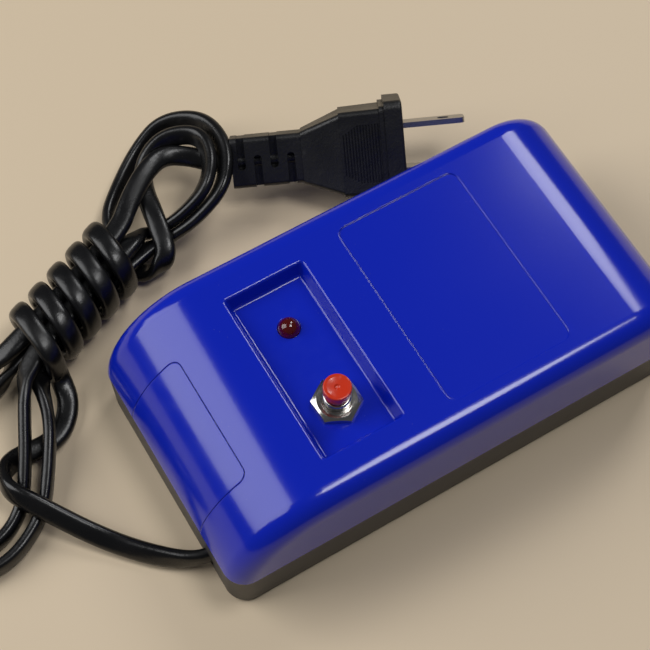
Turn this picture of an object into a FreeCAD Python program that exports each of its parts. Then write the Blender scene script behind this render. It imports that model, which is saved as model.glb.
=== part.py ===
import FreeCAD, Part
import math
import os
import re
import Sketcher

os.makedirs("parts", exist_ok=True)
V = FreeCAD.Vector
doc = FreeCAD.newDocument("demagnetiser")

# Driving dimensions, millimetres and degrees
vals = {
    "case_length": 138, "case_width": 73, "case_height": 41, "seam_height": 17.2,
    "nose_round": 28, "tail_round": 18, "side_round": 6, "wall": 2.2,
    "base_inset": 0.35, "base_draft": 1.4, "base_edge": 1.4,
    "well_x": -25.1, "well_length": 22.9, "well_width": 49.6, "well_depth": 4.5,
    "well_taper": 16.5, "well_rim": 0.8,
    "label_x": 16.2, "label_length": 36.2, "label_width": 56, "label_depth": 0.3, "label_round": 2.8,
    "hatch_half": 18.3, "hatch_top": -53.9, "hatch_round": 2.5, "seam_gap": 0.15,
    "boss_x": 57.5, "boss_y": 28, "boss_radius": 3.2, "boss_bore": 1.45, "post_gap": 0.1,
    "lamp_y": 11.8, "lamp_radius": 2.9, "lamp_top": 39.3, "lamp_flange": 3.4, "lamp_gap": 0.1,
    "button_y": -11.9, "bushing_radius": 3.6, "bushing_top": 41.2, "bushing_bore": 2.6,
    "stem_radius": 2.2, "cap_radius": 3.6, "cap_low": 42.9, "cap_top": 46.2, "button_travel": 1.5,
    "nut_flats": 11.5, "nut_height": 2.1, "cup_radius": 6.2, "cup_bore": 4.9, "cup_height": 9.5,
    "cord_size": 4.6, "cord_y": -21, "cord_z": 5.2, "cord_gap": 0.35,
    "core_x": 18, "core_length": 56, "core_width": 22, "core_low": 3, "core_high": 36,
    "yoke": 9, "outer_leg": 9, "centre_leg": 15, "strap": 1.2,
    "plug_turn": -26.3, "plug_tilt": -3.8, "plug_roll": 41.5, "plug_x": -8.5, "plug_y": 76, "plug_z": 12.1,
    "blade_width": 6.3, "blade_thick": 1.5, "blade_length": 17.5, "blade_pitch": 12.7,
    "slide_travel": 4, "slide_gap": 0.3,
}
sheet = doc.addObject("Spreadsheet::Sheet", "Dim")
sheet.Label = "driving dimensions"
row = 1
for alias, number in vals.items():
    sheet.set("A%d" % row, alias.replace("_", " "))
    sheet.set("B%d" % row, str(number))
    sheet.setAlias("B%d" % row, alias)
    row += 1
doc.recompute()
nodes = []


def link(text):
    return re.sub(r"[a-z_]+[a-z]", lambda m: "Dim." + m.group(0) if m.group(0) in vals else m.group(0), str(text))


def plane(body, role):
    return [f for f in body.Origin.OriginFeatures if f.Role == role][0]


def sketch(body, name, z):
    s = body.newObject("Sketcher::SketchObject", name)
    s.AttachmentSupport = [(plane(body, "XY_Plane"), "")]
    s.MapMode = "FlatFace"
    s.setExpression("AttachmentOffset.Base.z", link(z))
    return s


def rect(body, name, z, x0, x1, y0, y1):
    s = sketch(body, name, z)
    corner = [(-5, -5), (5, -5), (5, 5), (-5, 5)]
    for i in range(4):
        s.addGeometry(Part.LineSegment(V(*corner[i], 0), V(*corner[(i + 1) % 4], 0)))
    for i in range(4):
        s.addConstraint(Sketcher.Constraint("Coincident", i, 2, (i + 1) % 4, 1))
    for i in (0, 2):
        s.addConstraint(Sketcher.Constraint("Horizontal", i))
    for i in (1, 3):
        s.addConstraint(Sketcher.Constraint("Vertical", i))
    limits = (("DistanceX", (0, 1), x0), ("DistanceX", (1, 1), x1), ("DistanceY", (0, 1), y0), ("DistanceY", (2, 1), y1))
    for kind, point, value in limits:
        start = -5.0 if value[0] == "-" else 5.0
        n = s.addConstraint(Sketcher.Constraint(kind, -1, 1, point[0], point[1], start))
        s.setExpression("Constraints[%d]" % n, link(value))
    return s


def pad(body, name, profile, length, taper=None):
    f = body.newObject("PartDesign::Pad", name)
    f.Profile = profile
    f.setExpression("Length", link(length))
    if taper:
        f.setExpression("TaperAngle", link(taper))
    doc.recompute()
    return f


def pocket(body, name, profile, length=None, taper=None, up=False):
    before = body.Tip.Shape.Volume
    f = body.newObject("PartDesign::Pocket", name)
    f.Profile = profile
    f.Reversed = up
    if length:
        f.setExpression("Length", link(length))
    else:
        f.Type = "ThroughAll"
    if taper:
        f.setExpression("TaperAngle", link(taper))
    doc.recompute()
    print("pocket", name, round(before - f.Shape.Volume, 1))
    return f


def rounding(body, name, base, test, radius):
    picked = ["Edge%d" % (i + 1) for i, e in enumerate(base.Shape.Edges) if test(e.BoundBox)]
    f = body.newObject("PartDesign::Fillet", name)
    f.Base = (base, picked)
    f.setExpression("Radius", link(radius))
    doc.recompute()
    print("fillet", name, len(picked), f.State)
    return f


def block(name, x0, x1, y0, y1, z0, z1):
    b = doc.addObject("Part::Box", name)
    for side, low, high, axis in (("Length", x0, x1, "x"), ("Width", y0, y1, "y"), ("Height", z0, z1, "z")):
        b.setExpression(side, link("(%s) - (%s)" % (high, low)))
        b.setExpression("Placement.Base." + axis, link(low))
    return b


turns = {"z": FreeCAD.Rotation(), "x": FreeCAD.Rotation(V(0, 1, 0), 90), "y": FreeCAD.Rotation(V(1, 0, 0), -90)}


def rod(name, x, y, z, radius, height, axis="z"):
    c = doc.addObject("Part::Cylinder", name)
    c.Placement = FreeCAD.Placement(V(0, 0, 0), turns[axis])
    for field, value in (("Radius", radius), ("Height", height)):
        c.setExpression(field, link(value))
    for field, value in (("x", x), ("y", y), ("z", z)):
        c.setExpression("Placement.Base." + field, link(value))
    return c


def fuse(name, *shapes):
    f = doc.addObject("Part::MultiFuse", name)
    f.Shapes = list(shapes)
    f.Refine = True
    return f


def cut(name, base, *tools):
    c = doc.addObject("Part::Cut", name)
    c.Base = base
    c.Tool = tools[0] if len(tools) == 1 else fuse(name + "_tools", *tools)
    c.Refine = True
    return c


def common(name, first, second):
    c = doc.addObject("Part::Common", name)
    c.Base = first
    c.Tool = second
    return c


def soften(name, base, test, radius):
    doc.recompute()
    f = doc.addObject("Part::Fillet", name)
    f.Base = base
    f.Edges = [(i + 1, radius, radius) for i, e in enumerate(base.Shape.Edges) if test(e.BoundBox)]
    doc.recompute()
    print("soften", name, len(f.Edges), f.State)
    return f


def node(label, item):
    item.Label = label
    nodes.append(item)
    return item


def near(a, b, gap=0.02):
    return abs(a - b) < gap


L = vals["case_length"] / 2
W = vals["case_width"] / 2
H = vals["case_height"]
S = vals["seam_height"]


# Outer form shared by the cover and the hatch
def cover_form(name, hollow):
    body = doc.addObject("PartDesign::Body", name)
    base = rect(body, name + "_outline", "seam_height - 6", "-case_length / 2", "case_length / 2",
                "-case_width / 2", "case_width / 2")
    tip = pad(body, name + "_pad", base, "case_height - seam_height + 6")
    tip = rounding(body, name + "_nose", tip, lambda b: near(b.XMin, -L) and near(b.XMax, -L) and near(b.ZMin, H), "nose_round")
    tip = rounding(body, name + "_tail", tip, lambda b: near(b.XMin, L) and near(b.XMax, L) and near(b.ZMin, H), "tail_round")
    side = lambda b: (near(b.YMin, W) and near(b.YMax, W) or near(b.YMin, -W) and near(b.YMax, -W)) and b.ZMax > S - 5
    tip = rounding(body, name + "_sides", tip, side, "side_round")
    trim = rect(body, name + "_seam", "seam_height", "-case_length", "case_length", "-case_width", "case_width")
    tip = pocket(body, name + "_trim", trim)
    if hollow:
        shell = body.newObject("PartDesign::Thickness", name + "_wall")
        low = ["Face%d" % (i + 1) for i, f in enumerate(tip.Shape.Faces)
               if near(f.BoundBox.ZMax, S) and near(f.BoundBox.ZMin, S)]
        shell.Base = (tip, low)
        shell.setExpression("Value", link("wall"))
        shell.Reversed = True
        shell.Join = 0
        doc.recompute()
        print("wall", shell.State, round(shell.Shape.Volume))
    return body


form = cover_form("cover_form", False)
shell = cover_form("cover_shell", True)


# Hatch outline, used with and without its seam gap
def hatch_block(name, gap, low):
    body = doc.addObject("PartDesign::Body", name)
    base = rect(body, name + "_outline", low, "-case_length / 2 - 8", "hatch_top - %s" % gap,
                "-(hatch_half - %s)" % gap, "hatch_half - %s" % gap)
    tip = pad(body, name + "_pad", base, "case_height")
    edge = vals["hatch_top"] - (vals["seam_gap"] if gap != "0" else 0)
    rounding(body, name + "_corners", tip, lambda b: near(b.XMin, edge) and near(b.XMax, edge) and b.ZMax - b.ZMin > 5 and near(b.YMin, b.YMax),
             "hatch_round - %s" % gap)
    return body


# Control well, lamp and button holes
well = doc.addObject("PartDesign::Body", "well_block")
well_face = rect(well, "well_outline", "case_height", "well_x - well_length / 2", "well_x + well_length / 2",
                 "-well_width / 2", "well_width / 2")
well_pad = well.newObject("PartDesign::Pad", "well_pad")
well_pad.Profile = well_face
well_pad.Reversed = True
well_pad.setExpression("Length", link("well_depth"))
well_pad.setExpression("TaperAngle", link("-well_taper"))
doc.recompute()

slope = lambda b: b.ZMax - b.ZMin > 4 and b.YMax - b.YMin < 2
well_tip = rounding(well, "well_corners", well_pad, slope, "well_rim")
low_rim = lambda b: near(b.ZMax, H - vals["well_depth"], 0.05)
well_tip = rounding(well, "well_floor_edge", well_tip, low_rim, "well_rim")

label = doc.addObject("PartDesign::Body", "recess_block")
label_face = rect(label, "recess_outline", "case_height - label_depth", "label_x - label_length / 2",
                  "label_x + label_length / 2", "-label_width / 2", "label_width / 2")
label_pad = pad(label, "recess_pad", label_face, "label_depth + 2")
rounding(label, "recess_corners", label_pad, lambda b: b.ZMax - b.ZMin > 2, "label_round")

opening = hatch_block("hatch_opening", "0", "seam_height - 1")
tub = block("well_tub", "well_x - well_length / 2 - 3.2", "well_x + well_length / 2 + 1.6", "-well_width / 2 - 3",
            "well_width / 2 + 3", "case_height - well_depth - wall", "case_height - 1")
bosses = [rod("boss%d" % i, "%s * boss_x" % sx, "%s * boss_y" % sy, "seam_height + post_gap * 2", "boss_radius", "case_height")
          for i, (sx, sy) in enumerate(((-1, -1), (-1, 1), (1, -1), (1, 1)))]
bores = [rod("bore%d" % i, "%s * boss_x" % sx, "%s * boss_y" % sy, "seam_height - 1", "boss_bore", "12")
         for i, (sx, sy) in enumerate(((-1, -1), (-1, 1), (1, -1), (1, 1)))]
inner = common("cover_inner", fuse("cover_posts", tub, *bosses), form)
lamp_hole = rod("lamp_hole", "well_x", "lamp_y", "seam_height + 10", "lamp_radius + lamp_gap", "20")
bush_hole = rod("bush_hole", "well_x", "button_y", "seam_height + 10", "bushing_radius + lamp_gap", "20")
cover_cut = cut("cover_cut", fuse("cover_whole", shell, inner), well, label, opening, lamp_hole, bush_hole, *bores)
top_rim = lambda b: near(b.ZMin, H) and near(b.ZMax, H) and b.XMax < -10 and b.XMin > -38 and b.YMax - b.YMin + b.XMax - b.XMin > 0.3
upper_cover = node("upper_cover", soften("cover_rim", cover_cut, top_rim, vals["well_rim"]))

# Hatch with its two tongues
panel = hatch_block("hatch_panel", "seam_gap", "seam_height + seam_gap")
tongues = [block("tongue%d" % i, "hatch_top - 3.6", "hatch_top + 3", "%s - 2.5" % y, "%s + 2.5" % y, "33.2", "34.7")
           for i, y in enumerate((-10.5, 10.5))]
hatch_skin = common("hatch_skin", shell, panel)
nose_hatch = node("nose_hatch", fuse("hatch_whole", hatch_skin, *tongues))

# Lower case: drafted tray, posts, rails and the lead's hole
tray = doc.addObject("PartDesign::Body", "tray_form")
tray_face = rect(tray, "tray_outline", "seam_height", "-case_length / 2 + base_inset", "case_length / 2 - base_inset",
                 "-case_width / 2 + base_inset", "case_width / 2 - base_inset")
tray_pad = tray.newObject("PartDesign::Pad", "tray_pad")
tray_pad.Profile = tray_face
tray_pad.Reversed = True
tray_pad.setExpression("Length", link("seam_height"))
tray_pad.setExpression("TaperAngle", link("-base_draft"))
doc.recompute()
tip = rounding(tray, "tray_corners", tray_pad, lambda b: b.ZMax - b.ZMin > 15, "side_round")
tip = rounding(tray, "tray_foot", tip, lambda b: near(b.ZMax, 0, 0.05), "base_edge")
hollow = rect(tray, "tray_hollow", "seam_height", "-case_length / 2 + base_inset + wall + 0.4", "case_length / 2 - base_inset - wall - 0.4",
              "-case_width / 2 + base_inset + wall + 0.4", "case_width / 2 - base_inset - wall - 0.4")
tip = pocket(tray, "tray_pocket", hollow, "seam_height - wall")
tip = rounding(tray, "tray_inner_corners", tip, lambda b: near(b.ZMin, vals["wall"]) and near(b.ZMax, S) and b.XMax - b.XMin < 0.1,
               "side_round - wall")
posts = [rod("post%d" % i, "%s * boss_x" % sx, "%s * boss_y" % sy, "wall - 1", "boss_radius + 0.9", "seam_height + post_gap - wall + 1")
         for i, (sx, sy) in enumerate(((-1, -1), (-1, 1), (1, -1), (1, 1)))]
shafts = [rod("shaft%d" % i, "%s * boss_x" % sx, "%s * boss_y" % sy, "-1", "1.7", "seam_height + 4")
          for i, (sx, sy) in enumerate(((-1, -1), (-1, 1), (1, -1), (1, 1)))]
sinks = [rod("sink%d" % i, "%s * boss_x" % sx, "%s * boss_y" % sy, "-1", "boss_radius - 0.1", "9")
         for i, (sx, sy) in enumerate(((-1, -1), (-1, 1), (1, -1), (1, 1)))]
rails = [block("rail%d" % i, "core_x - core_length / 2", "core_x + core_length / 2", "%s - 1.5" % y, "%s + 1.5" % y, "wall - 0.5", "core_low")
         for i, y in enumerate((-7, 7))]
feet = [rod("clamp_post%d" % i, "core_x + %s * (core_length / 2 + 6.8)" % sx, "0", "wall - 0.5", "3.8", "core_low + 3 - wall + 0.5")
        for i, sx in enumerate((-1, 1))]
foot_bores = [rod("clamp_bore%d" % i, "core_x + %s * (core_length / 2 + 6.8)" % sx, "0", "wall - 0.2", "1.3", "8")
              for i, sx in enumerate((-1, 1))]
rack = block("selector_wall", "-50", "-48.4", "-11.4", "11.4", "wall - 0.5", "28")
window = block("selector_window", "-51", "-47", "-4.6", "4.6", "19.1", "23.9")
rack_bores = [rod("rack_bore%d" % i, "-51", y, "21.5", "0.95", "4", "x") for i, y in enumerate(("-9.7", "9.7"))]
saddles = [rod("saddle_post%d" % i, "-49", "cord_y + %s" % y, "wall - 0.5", "2.4", "4.5") for i, y in enumerate((-6.5, 6.5))]
saddle_bores = [rod("saddle_bore%d" % i, "-49", "cord_y + %s" % y, "wall - 0.2", "0.95", "8") for i, y in enumerate((-6.5, 6.5))]
cradle = block("saddle_rib", "-50.4", "-47.6", "cord_y - 5", "cord_y + 5", "wall - 0.5", "cord_z - 0.8")
cord_bed = rod("cord_bed", "-60", "cord_y", "cord_z", "cord_size / 2", "20", "x")
cord_hole = rod("cord_hole", "-case_length / 2 - 1", "cord_y", "cord_z", "cord_size / 2 + 0.3", "6", "x")
tray_whole = fuse("tray_whole", tray, rack, cradle, *(posts + rails + feet + saddles))
lower_case = node("lower_case", cut("tray_cut", tray_whole, window, cord_bed, cord_hole,
                                    *(shafts + sinks + foot_bores + rack_bores + saddle_bores)))


# Case screws: pan heads in the counterbores, shanks in the cover's bosses
def screw(name, x, y, seat, head, head_high, shank, reach, down=False):
    top = "%s" % seat if down else "%s - %s" % (seat, head_high)
    cap = rod(name + "_head", x, y, top, head, head_high)
    stem = rod(name + "_shank", x, y, "%s - %s" % (seat, reach) if down else seat, shank, reach)
    slot_low = "%s + %s - 0.6" % (seat, head_high) if down else "%s - %s - 1" % (seat, head_high)
    slot_high = "%s + %s + 1" % (seat, head_high) if down else "%s - %s + 0.6" % (seat, head_high)
    a = block(name + "_slot_x", "%s - %s * 0.6" % (x, head), "%s + %s * 0.6" % (x, head), "%s - 0.3" % y, "%s + 0.3" % y, slot_low, slot_high)
    b = block(name + "_slot_y", "%s - 0.3" % x, "%s + 0.3" % x, "%s - %s * 0.6" % (y, head), "%s + %s * 0.6" % (y, head), slot_low, slot_high)
    return cut(name + "_cut", fuse(name + "_blank", cap, stem), a, b)


case_screws = fuse("case_screws_all", *[screw("case_screw%d" % i, "%s * boss_x" % sx, "%s * boss_y" % sy, "8", "2.7", "2", "boss_bore - 0.05", "19")
                                        for i, (sx, sy) in enumerate(((-1, -1), (-1, 1), (1, -1), (1, 1)))])
node("case_screws", case_screws)

# Push button: cap, plunger with collar, bridge contact
cap = rod("cap_blank", "well_x", "button_y", "cap_low", "cap_radius", "cap_top - cap_low")
dish = doc.addObject("Part::Sphere", "cap_dish")
dish.setExpression("Radius", link("cap_radius * 4"))
for field, value in (("x", "well_x"), ("y", "button_y"), ("z", "cap_top + cap_radius * 4 - 0.25")):
    dish.setExpression("Placement.Base." + field, link(value))
pip = doc.addObject("Part::Sphere", "cap_pip")
pip.Radius = 1
for field, value in (("x", "well_x"), ("y", "button_y"), ("z", "cap_top + 0.35")):
    pip.setExpression("Placement.Base." + field, link(value))
cap_well = rod("cap_well", "well_x", "button_y", "cap_low - 1", "stem_radius - 0.4", "2.4")
cap_edge = soften("cap_edge", cap, lambda b: near(b.ZMin, vals["cap_top"]) or near(b.ZMax, vals["cap_low"]), 0.35)
node("button_cap", cut("button_cap_cut", cap_edge, dish, pip, cap_well))
stem = rod("stem", "well_x", "button_y", "27.4", "stem_radius", "cap_low - 27.4")
spigot = rod("spigot", "well_x", "button_y", "cap_low", "stem_radius - 0.4", "1.4")
collar = rod("collar", "well_x", "button_y", "31.9", "cup_bore - 0.4", "1.05")
node("button_plunger", fuse("plunger_whole", stem, spigot, collar))
node("moving_contact", rod("bridge", "well_x", "button_y", "27", "3.3", "0.4"))

# Threaded bushing, nut and washer
tube = rod("bush_tube", "well_x", "button_y", "33.8", "bushing_radius", "bushing_top - 33.8")
lead_in = soften("bush_lead", tube, lambda b: near(b.ZMin, vals["bushing_top"]), 0.5)
flange = rod("bush_flange", "well_x", "button_y", "33", "bushing_radius + 1.7", "0.8")
rings = [cut("thread_cut%d" % i, rod("thread_out%d" % i, "well_x", "button_y", "39.15 + %s" % (0.5 * i), "bushing_radius + 1", "0.2"),
             rod("thread_in%d" % i, "well_x", "button_y", "39 + %s" % (0.5 * i), "bushing_radius - 0.15", "0.6")) for i in range(3)]
bush_bore = rod("bush_bore", "well_x", "button_y", "30", "bushing_bore", "20")
node("button_bushing", cut("bushing_cut", fuse("bushing_whole", lead_in, flange), bush_bore, *rings))
washer_in = rod("washer_in", "well_x", "button_y", "33", "bushing_radius + 0.2", "3")
washer_out = rod("washer_out", "well_x", "button_y", "33.8", "bushing_radius + 2", "0.5")
node("lock_washer", cut("washer_cut", washer_out, washer_in))
hexagon = doc.addObject("Part::Prism", "nut_blank")
hexagon.Polygon = 6
hexagon.setExpression("Circumradius", link("nut_flats / 2 / cos(30)"))
hexagon.setExpression("Height", link("nut_height"))
hexagon.Placement = FreeCAD.Placement(V(0, 0, 0), FreeCAD.Rotation(V(0, 0, 1), 32.5))
for field, value in (("x", "well_x"), ("y", "button_y"), ("z", "case_height - well_depth")):
    hexagon.setExpression("Placement.Base." + field, link(value))
dome = doc.addObject("Part::Cone", "nut_dome")
dome.Radius1 = 8.35
dome.Radius2 = 5.15
dome.setExpression("Height", link("nut_height"))
for field, value in (("x", "well_x"), ("y", "button_y"), ("z", "case_height - well_depth")):
    dome.setExpression("Placement.Base." + field, link(value))
raised = rod("nut_collar", "well_x", "button_y", "case_height - well_depth + 1", "bushing_radius + 0.6", "nut_height - 0.5")
nut_bore = rod("nut_bore", "well_x", "button_y", "case_height - well_depth - 1", "bushing_radius + 0.02", "6")
node("button_nut", cut("nut_cut", fuse("nut_whole", common("nut_chamfer", hexagon, dome), raised), nut_bore))

# Switch: cup, terminals and return spring
cup_out = rod("cup_out", "well_x", "button_y", "23.5", "cup_radius", "cup_height")
cup_in = rod("cup_in", "well_x", "button_y", "24.7", "cup_bore", "cup_height")
blades = [block("terminal%d" % i, "well_x - 1.2", "well_x + 1.2", "button_y + %s - 0.4" % y, "button_y + %s + 0.4" % y, "17.5", "25.2")
          for i, y in enumerate((-2.2, 2.2))]
node("switch_terminals", fuse("terminals", *blades))
slots = [block("terminal_slot%d" % i, "well_x - 1.2", "well_x + 1.2", "button_y + %s - 0.4" % y, "button_y + %s + 0.4" % y, "17.5", "25.2")
         for i, y in enumerate((-2.2, 2.2))]
node("switch_body", cut("cup_cut", cup_out, cup_in, *slots))
spring_low = 24.7
spring_high = 31.9
wire_size = 0.5
coil_count = 5
coil_radius = 4.2
spring_rise = spring_high - spring_low - wire_size
path = Part.makeHelix(spring_rise / coil_count, spring_rise, coil_radius)
path.translate(V(0, 0, spring_low + wire_size / 2))
ring = [V(coil_radius + wire_size / 2 * math.cos(math.pi * i / 3), 0, spring_low + wire_size / 2 * (1 + math.sin(math.pi * i / 3)))
        for i in range(6)]
profile = Part.makePolygon(ring + [ring[0]])
spring = Part.Wire(path.Edges).makePipeShell([profile], True, True)
spring_item = doc.addObject("Part::Feature", "spring_form")
spring_item.Shape = spring
spring_item.Placement = FreeCAD.Placement(V(vals["well_x"], vals["button_y"], 0), FreeCAD.Rotation())
node("switch_spring", spring_item)

# Lamp: lens, legs, resistor and diode
lens_body = rod("lens_body", "well_x", "lamp_y", "33.4", "lamp_radius", "lamp_top - lamp_radius - 33.4")
lens_dome = doc.addObject("Part::Sphere", "lens_dome")
lens_dome.setExpression("Radius", link("lamp_radius"))
for field, value in (("x", "well_x"), ("y", "lamp_y"), ("z", "lamp_top - lamp_radius")):
    lens_dome.setExpression("Placement.Base." + field, link(value))
lens_rim = rod("lens_rim", "well_x", "lamp_y", "33.4", "lamp_flange", "0.9")
node("lamp_lens", fuse("lens_whole", lens_body, lens_dome, lens_rim))
legs = [rod("lamp_leg%d" % i, "well_x", "lamp_y + %s" % y, "22.3", "0.3", "11.1") for i, y in enumerate((-1.27, 1.27))]
node("lamp_legs", fuse("legs_all", *legs))
res = fuse("resistor_whole", rod("res_lead", "well_x - 1", "lamp_y + 1.27", "22", "0.3", "13", "x"),
           rod("res_body", "well_x + 2", "lamp_y + 1.27", "22", "1", "6.5", "x"))
node("lamp_resistor", res)
dio = fuse("diode_whole", rod("dio_lead", "well_x - 1", "lamp_y - 1.27", "22", "0.3", "13", "x"),
           rod("dio_body", "well_x + 2.6", "lamp_y - 1.27", "22", "0.9", "4.5", "x"))
node("lamp_diode", dio)

# Core: laminations, bobbin, winding, tape, strap and screws
core_box = block("core_box", "core_x - core_length / 2", "core_x + core_length / 2", "-core_width / 2", "core_width / 2", "core_low", "core_high")
windows = [block("core_window%d" % i, "core_x + %s" % a, "core_x + %s" % b, "-core_width", "core_width", "core_low + yoke", "core_high + 5")
           for i, (a, b) in enumerate((("(-core_length / 2 + outer_leg)", "(-centre_leg / 2)"),
                                       ("centre_leg / 2", "(core_length / 2 - outer_leg)")))]
node("core_laminations", cut("core_cut", core_box, *windows))


def ring_box(name, half_x, half_y, low, high, inner_x, inner_y):
    outer = block(name + "_out", "core_x - (%s)" % half_x, "core_x + %s" % half_x, "-(%s)" % half_y, half_y, low, high)
    middle = block(name + "_in", "core_x - (%s)" % inner_x, "core_x + %s" % inner_x, "-(%s)" % inner_y, inner_y, low + " - 1", high + " + 1")
    return cut(name, outer, middle)


leg_x = "(centre_leg / 2 + 0.2)"
leg_y = "(core_width / 2 + 0.2)"
spool = ring_box("spool_tube", leg_x + " + 1.2", leg_y + " + 1.2", "core_low + yoke", "core_high - 1", leg_x, leg_y)
cheek_low = ring_box("spool_low", "centre_leg / 2 + 11.1", "core_width / 2 + 11.1", "core_low + yoke", "core_low + yoke + 1.2", leg_x, leg_y)
cheek_high = ring_box("spool_high", "centre_leg / 2 + 11.1", "core_width / 2 + 11.1", "core_high - 2.2", "core_high - 1", leg_x, leg_y)
node("coil_bobbin", fuse("bobbin_whole", spool, cheek_low, cheek_high))
wind = ring_box("winding_form", "centre_leg / 2 + 10.1", "core_width / 2 + 10.1", "core_low + yoke + 1.2", "core_high - 2.2",
                leg_x + " + 1.2", leg_y + " + 1.2")
winding = node("coil_winding", soften("winding_round", wind, lambda b: b.ZMax - b.ZMin > 15 and (b.YMax > 20 or b.YMin < -20), 4))
tape = ring_box("tape_form", "centre_leg / 2 + 10.5", "core_width / 2 + 10.5", "core_low + yoke + 2.2", "core_high - 3.2",
                "centre_leg / 2 + 5", "core_width / 2 + 5")
tape_round = soften("tape_round", tape, lambda b: b.ZMax - b.ZMin > 15 and (b.YMax > 20.5 or b.YMin < -20.5), 4.4)
node("winding_tape", cut("tape_cut", tape_round, winding))
strap_out = block("strap_out", "core_x - core_length / 2 - strap", "core_x + core_length / 2 + strap", "-7", "7", "core_low + 3", "core_high + strap")
strap_in = block("strap_in", "core_x - core_length / 2", "core_x + core_length / 2", "-8", "8", "core_low - 3", "core_high")
strap_feet = [block("strap_foot%d" % i, "core_x + %s" % a, "core_x + %s" % b, "-7", "7", "core_low + 3", "core_low + 3 + strap")
              for i, (a, b) in enumerate((("(-core_length / 2 - 11.5)", "(-core_length / 2 - 0.6)"),
                                          ("(core_length / 2 + 0.6)", "(core_length / 2 + 11.5)")))]
strap_holes = [rod("strap_hole%d" % i, "core_x + %s * (core_length / 2 + 6.8)" % sx, "0", "core_low", "1.6", "8") for i, sx in enumerate((-1, 1))]
node("core_clamp", cut("strap_cut", fuse("strap_whole", cut("strap_bend", strap_out, strap_in), *strap_feet), *strap_holes))
node("core_clamp_screws", fuse("core_screws_all", *[screw("core_screw%d" % i, "core_x + %s * (core_length / 2 + 6.8)" % sx, "0",
                                                          "(core_low + 3 + strap)", "2.6", "1.6", "1.25", "4.8", True)
                                                    for i, sx in enumerate((-1, 1))]))

# Lead clamp, inner tail and supply selector
bar = block("clamp_bar", "-51.2", "-46.8", "cord_y - 9.2", "cord_y + 9.2", "cord_z + 1", "cord_z + 3.4")
bar_bed = rod("clamp_bed", "-60", "cord_y", "cord_z", "cord_size / 2", "20", "x")
bar_holes = [rod("bar_hole%d" % i, "-49", "cord_y + %s" % y, "cord_z", "1.2", "6") for i, y in enumerate((-6.5, 6.5))]
node("cord_clamp", cut("bar_cut", bar, bar_bed, *bar_holes))
node("cord_clamp_screws", fuse("clamp_screws_all", *[screw("clamp_screw%d" % i, "-49", "(cord_y + %s)" % y, "(cord_z + 3.4)",
                                                           "2", "1.4", "0.9", "5.4", True) for i, y in enumerate((-6.5, 6.5))]))
node("lead_tail", rod("tail_rod", "-64.5", "cord_y", "cord_z", "cord_size / 2", "19.5", "x"))
box_body = block("selector_box", "-48.4", "-42.4", "-8", "8", "17", "26")
ears = block("selector_ears", "-48.4", "-46.4", "-11.4", "11.4", "19", "24")
box_hollow = block("selector_hollow", "-49", "-45", "-7.4", "7.4", "18.5", "24.5")
ear_holes = [rod("ear_hole%d" % i, "-50", y, "21.5", "1", "5", "x") for i, y in enumerate(("-9.7", "9.7"))]
pin_slots = [block("pin_slot%d" % i, "-43.6", "-38", "%s - 0.4" % y, "%s + 0.4" % y, "20.3", "22.7") for i, y in enumerate((-4, 4))]
node("selector_body", cut("selector_cut", fuse("selector_whole", box_body, ears), box_hollow, *(ear_holes + pin_slots)))
pins = [block("pin%d" % i, "-43.6", "-39", "%s - 0.4" % y, "%s + 0.4" % y, "20.3", "22.7") for i, y in enumerate((-4, 4))]
node("selector_pins", fuse("pins_all", *pins))
carriage = block("carriage", "-48.1", "-45.3", "-7.4 + slide_gap", "7.4 - slide_gap - slide_travel - 0.1", "18.5 + slide_gap", "24.5 - slide_gap")
knob = block("slide_knob", "-53", "-48", "-4.05", "-0.05", "19.6", "23.4")
grooves = [block("knob_groove%d" % i, "-53.2", "-52.5", "-2.05 + %s" % y, "-2.05 + %s" % (y + 0.5), "19", "24") for i, y in enumerate((-1.25, -0.25, 0.75))]
node("selector_slider", cut("slider_cut", fuse("slider_whole", carriage, knob), *grooves))
node("selector_screws", fuse("selector_screws_all", *[rod("%s%d" % (part, i), x, y, "21.5", r, h, "x") for i, y in enumerate(("-9.7", "9.7"))
                                                      for part, x, r, h in (("sel_shank", "-49.6", "0.9", "3.2"), ("sel_head", "-46.4", "1.5", "1.2"))]))


# A bendy run: straight lengths joined by tangent arcs at 0.45 of the shorter run
def route(name, places, size):
    spots = [V(*p) for p in places]
    ways = [(spots[i + 1] - spots[i]).normalize() for i in range(len(spots) - 1)]
    runs = [(spots[i + 1] - spots[i]).Length for i in range(len(spots) - 1)]
    edges = []
    radii = []
    last = spots[0]
    for i in range(1, len(spots) - 1):
        half = ways[i - 1].getAngle(ways[i]) / 2
        reach = 0.45 * min(runs[i - 1], runs[i])
        radius = reach / math.tan(half)
        start = spots[i] - ways[i - 1] * reach
        end = spots[i] + ways[i] * reach
        middle = spots[i] + (ways[i] - ways[i - 1]).normalize() * (radius * (1 / math.cos(half) - 1))
        edges.append(Part.LineSegment(last, start).toShape())
        edges.append(Part.Arc(start, middle, end).toShape())
        last = end
        radii.append(round(radius, 1))
    edges.append(Part.LineSegment(last, spots[-1]).toShape())
    wire = Part.Wire(edges)
    print(name, "length", round(wire.Length, 1), "radii", radii, "least over size", round(min(radii) / size, 2))
    return wire, ways[0]


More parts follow.
